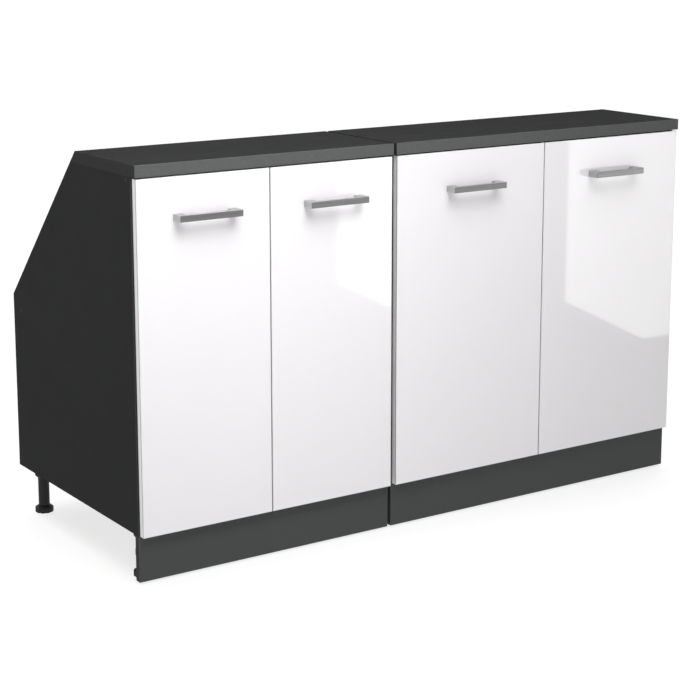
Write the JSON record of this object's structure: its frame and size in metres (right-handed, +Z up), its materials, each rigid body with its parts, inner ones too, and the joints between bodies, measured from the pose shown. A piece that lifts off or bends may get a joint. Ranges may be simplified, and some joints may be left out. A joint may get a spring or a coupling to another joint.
{
  "type": "sloped ceiling kitchen base cabinet",
  "caption": "Kitchen base cabinet for under a roof slope: two joined units with sloped backs, hinged white gloss doors, bow handles, dark carcass and worktop, plinth and levelling feet.",
  "frame": {"origin": "on the floor, under the middle of the whole box", "axes": "+X to the right along the worktop, +Y from the doors towards the wall, +Z up"},
  "size_m": [1.408, 0.621, 0.84],
  "materials": {
    "carcass_board": "anthracite melamine-faced chipboard, satin, fine pore texture",
    "worktop_laminate": "anthracite laminate worktop, satin",
    "plinth_board": "anthracite foil plinth board, satin",
    "hardboard_back": "anthracite coated hardboard",
    "white_gloss_front": "white high-gloss lacquered fibreboard",
    "brushed_handle": "brushed stainless look, satin",
    "nickel_steel": "nickel-plated pressed steel",
    "zinc_steel": "bright zinc plated",
    "black_plastic": "black moulded plastic, matt",
    "grey_cap": "grey plastic cover cap"
  },
  "bodies": {
    "carcass": {"left_unit_left_side": "carcass_board", "left_unit_right_side": "carcass_board", "left_unit_bottom_panel": "carcass_board", "left_unit_front_rail": "carcass_board", "left_unit_knee_rail": "carcass_board", "left_unit_slope_board": "carcass_board", "left_unit_back_panel": "hardboard_back", "left_unit_shelf": "carcass_board", "left_unit_worktop": "worktop_laminate", "left_unit_plinth": "plinth_board", "right_unit_left_side": "carcass_board", "right_unit_right_side": "carcass_board", "right_unit_bottom_panel": "carcass_board", "right_unit_front_rail": "carcass_board", "right_unit_knee_rail": "carcass_board", "right_unit_slope_board": "carcass_board", "right_unit_back_panel": "hardboard_back", "right_unit_shelf": "carcass_board", "right_unit_worktop": "worktop_laminate", "right_unit_plinth": "plinth_board", "shelf_pins": "zinc_steel", "cam_bolts": "zinc_steel", "cam_housings": "zinc_steel", "rail_screws": "zinc_steel", "rail_screw_caps": "grey_cap", "worktop_screws": "zinc_steel", "unit_connectors": "zinc_steel", "leg_columns": "black_plastic", "plinth_clips": "black_plastic", "hinge_plates": "nickel_steel", "hinge_plate_screws": "zinc_steel", "hinge_arms": "nickel_steel"},
    "door_1": {"door_1": "white_gloss_front", "handle_1": "brushed_handle", "handle_1_screws": "zinc_steel", "door_1_hinge_cups": "nickel_steel"},
    "door_1_links": {"door_1_hinge_links": "nickel_steel"},
    "door_2": {"door_2": "white_gloss_front", "handle_2": "brushed_handle", "handle_2_screws": "zinc_steel", "door_2_hinge_cups": "nickel_steel"},
    "door_2_links": {"door_2_hinge_links": "nickel_steel"},
    "door_3": {"door_3": "white_gloss_front", "handle_3": "brushed_handle", "handle_3_screws": "zinc_steel", "door_3_hinge_cups": "nickel_steel"},
    "door_3_links": {"door_3_hinge_links": "nickel_steel"},
    "door_4": {"door_4": "white_gloss_front", "handle_4": "brushed_handle", "handle_4_screws": "zinc_steel", "door_4_hinge_cups": "nickel_steel"},
    "door_4_links": {"door_4_hinge_links": "nickel_steel"},
    "foot_1": {"foot_1": "black_plastic"},
    "foot_2": {"foot_2": "black_plastic"},
    "foot_3": {"foot_3": "black_plastic"},
    "foot_4": {"foot_4": "black_plastic"},
    "foot_5": {"foot_5": "black_plastic"},
    "foot_6": {"foot_6": "black_plastic"},
    "foot_7": {"foot_7": "black_plastic"},
    "foot_8": {"foot_8": "black_plastic"}
  },
  "joints": [
    {"name": "door_1_hinge", "type": "hinge", "parent": "carcass", "child": "door_1", "pos_m": [-0.695, -0.2733, 0.4565], "axis": [0, 0, 1], "range_deg": [-110, 0]},
    {"name": "door_1_link_swing", "type": "hinge", "parent": "carcass", "child": "door_1_links", "pos_m": [-0.6825, -0.264, 0.4565], "axis": [0, 0, 1], "range_deg": [-110, 0]},
    {"name": "door_2_hinge", "type": "hinge", "parent": "carcass", "child": "door_2", "pos_m": [-0.113, -0.2733, 0.4565], "axis": [0, 0, 1], "range_deg": [0, 110]},
    {"name": "door_2_link_swing", "type": "hinge", "parent": "carcass", "child": "door_2_links", "pos_m": [-0.1255, -0.264, 0.4565], "axis": [0, 0, 1], "range_deg": [0, 110]},
    {"name": "door_3_hinge", "type": "hinge", "parent": "carcass", "child": "door_3", "pos_m": [-0.087, -0.2733, 0.4565], "axis": [0, 0, 1], "range_deg": [-110, 0]},
    {"name": "door_3_link_swing", "type": "hinge", "parent": "carcass", "child": "door_3_links", "pos_m": [-0.0745, -0.264, 0.4565], "axis": [0, 0, 1], "range_deg": [-110, 0]},
    {"name": "door_4_hinge", "type": "hinge", "parent": "carcass", "child": "door_4", "pos_m": [0.695, -0.2733, 0.4565], "axis": [0, 0, 1], "range_deg": [0, 110]},
    {"name": "door_4_link_swing", "type": "hinge", "parent": "carcass", "child": "door_4_links", "pos_m": [0.6825, -0.264, 0.4565], "axis": [0, 0, 1], "range_deg": [0, 110]},
    {"name": "foot_1_turn", "type": "hinge", "parent": "carcass", "child": "foot_1", "pos_m": [-0.672, -0.2185, 0.02], "axis": [0, 0, 1], "continuous": true},
    {"name": "foot_2_turn", "type": "hinge", "parent": "carcass", "child": "foot_2", "pos_m": [-0.672, 0.2565, 0.02], "axis": [0, 0, 1], "continuous": true},
    {"name": "foot_3_turn", "type": "hinge", "parent": "carcass", "child": "foot_3", "pos_m": [-0.136, -0.2185, 0.02], "axis": [0, 0, 1], "continuous": true},
    {"name": "foot_4_turn", "type": "hinge", "parent": "carcass", "child": "foot_4", "pos_m": [-0.136, 0.2565, 0.02], "axis": [0, 0, 1], "continuous": true},
    {"name": "foot_5_turn", "type": "hinge", "parent": "carcass", "child": "foot_5", "pos_m": [-0.064, -0.2185, 0.02], "axis": [0, 0, 1], "continuous": true},
    {"name": "foot_6_turn", "type": "hinge", "parent": "carcass", "child": "foot_6", "pos_m": [-0.064, 0.2565, 0.02], "axis": [0, 0, 1], "continuous": true},
    {"name": "foot_7_turn", "type": "hinge", "parent": "carcass", "child": "foot_7", "pos_m": [0.672, -0.2185, 0.02], "axis": [0, 0, 1], "continuous": true},
    {"name": "foot_8_turn", "type": "hinge", "parent": "carcass", "child": "foot_8", "pos_m": [0.672, 0.2565, 0.02], "axis": [0, 0, 1], "continuous": true}
  ],
  "couplings": [
    {"joint": "door_1_link_swing", "follows": "door_1_hinge", "ratio": 1},
    {"joint": "door_2_link_swing", "follows": "door_2_hinge", "ratio": 1},
    {"joint": "door_3_link_swing", "follows": "door_3_hinge", "ratio": 1},
    {"joint": "door_4_link_swing", "follows": "door_4_hinge", "ratio": 1}
  ]
}
